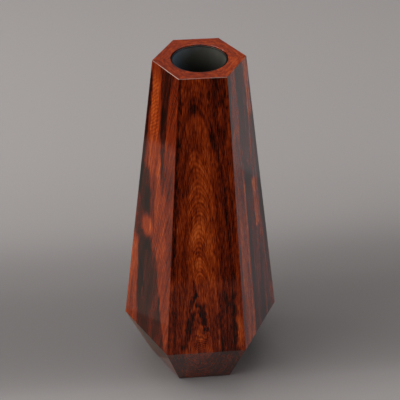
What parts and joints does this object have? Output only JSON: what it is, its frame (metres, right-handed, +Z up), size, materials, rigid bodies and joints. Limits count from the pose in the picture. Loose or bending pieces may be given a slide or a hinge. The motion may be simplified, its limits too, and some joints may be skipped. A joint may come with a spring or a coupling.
{
  "type": "pen pot",
  "caption": "Tall hexagonal wooden pot that widens to a low waist and narrows to its base, with a round mouth and a lift-out metal liner that holds dip pens upright.",
  "frame": {"origin": "middle of the base, on the surface that the pot stands on", "axes": "+Z up along the well, -Y out of the front stave's face"},
  "size_m": [0.1026, 0.089, 0.23],
  "materials": {
    "rosewood": "hand-rubbed lacquer, semi-gloss",
    "liner_metal": "dark chemical patina, satin",
    "cork": "matte",
    "felt": "matte"
  },
  "bodies": {
    "pot": {"stave_front": "rosewood", "stave_front_right": "rosewood", "stave_back_right": "rosewood", "stave_back": "rosewood", "stave_back_left": "rosewood", "stave_front_left": "rosewood", "cork_seat": "cork", "base_felt": "felt"},
    "liner": {"liner_tube": "liner_metal", "liner_floor": "liner_metal"}
  },
  "joints": [
    {"name": "liner_lift", "type": "slide", "parent": "pot", "child": "liner", "axis": [0, 0, 1], "range_m": [0, 0.16]}
  ]
}
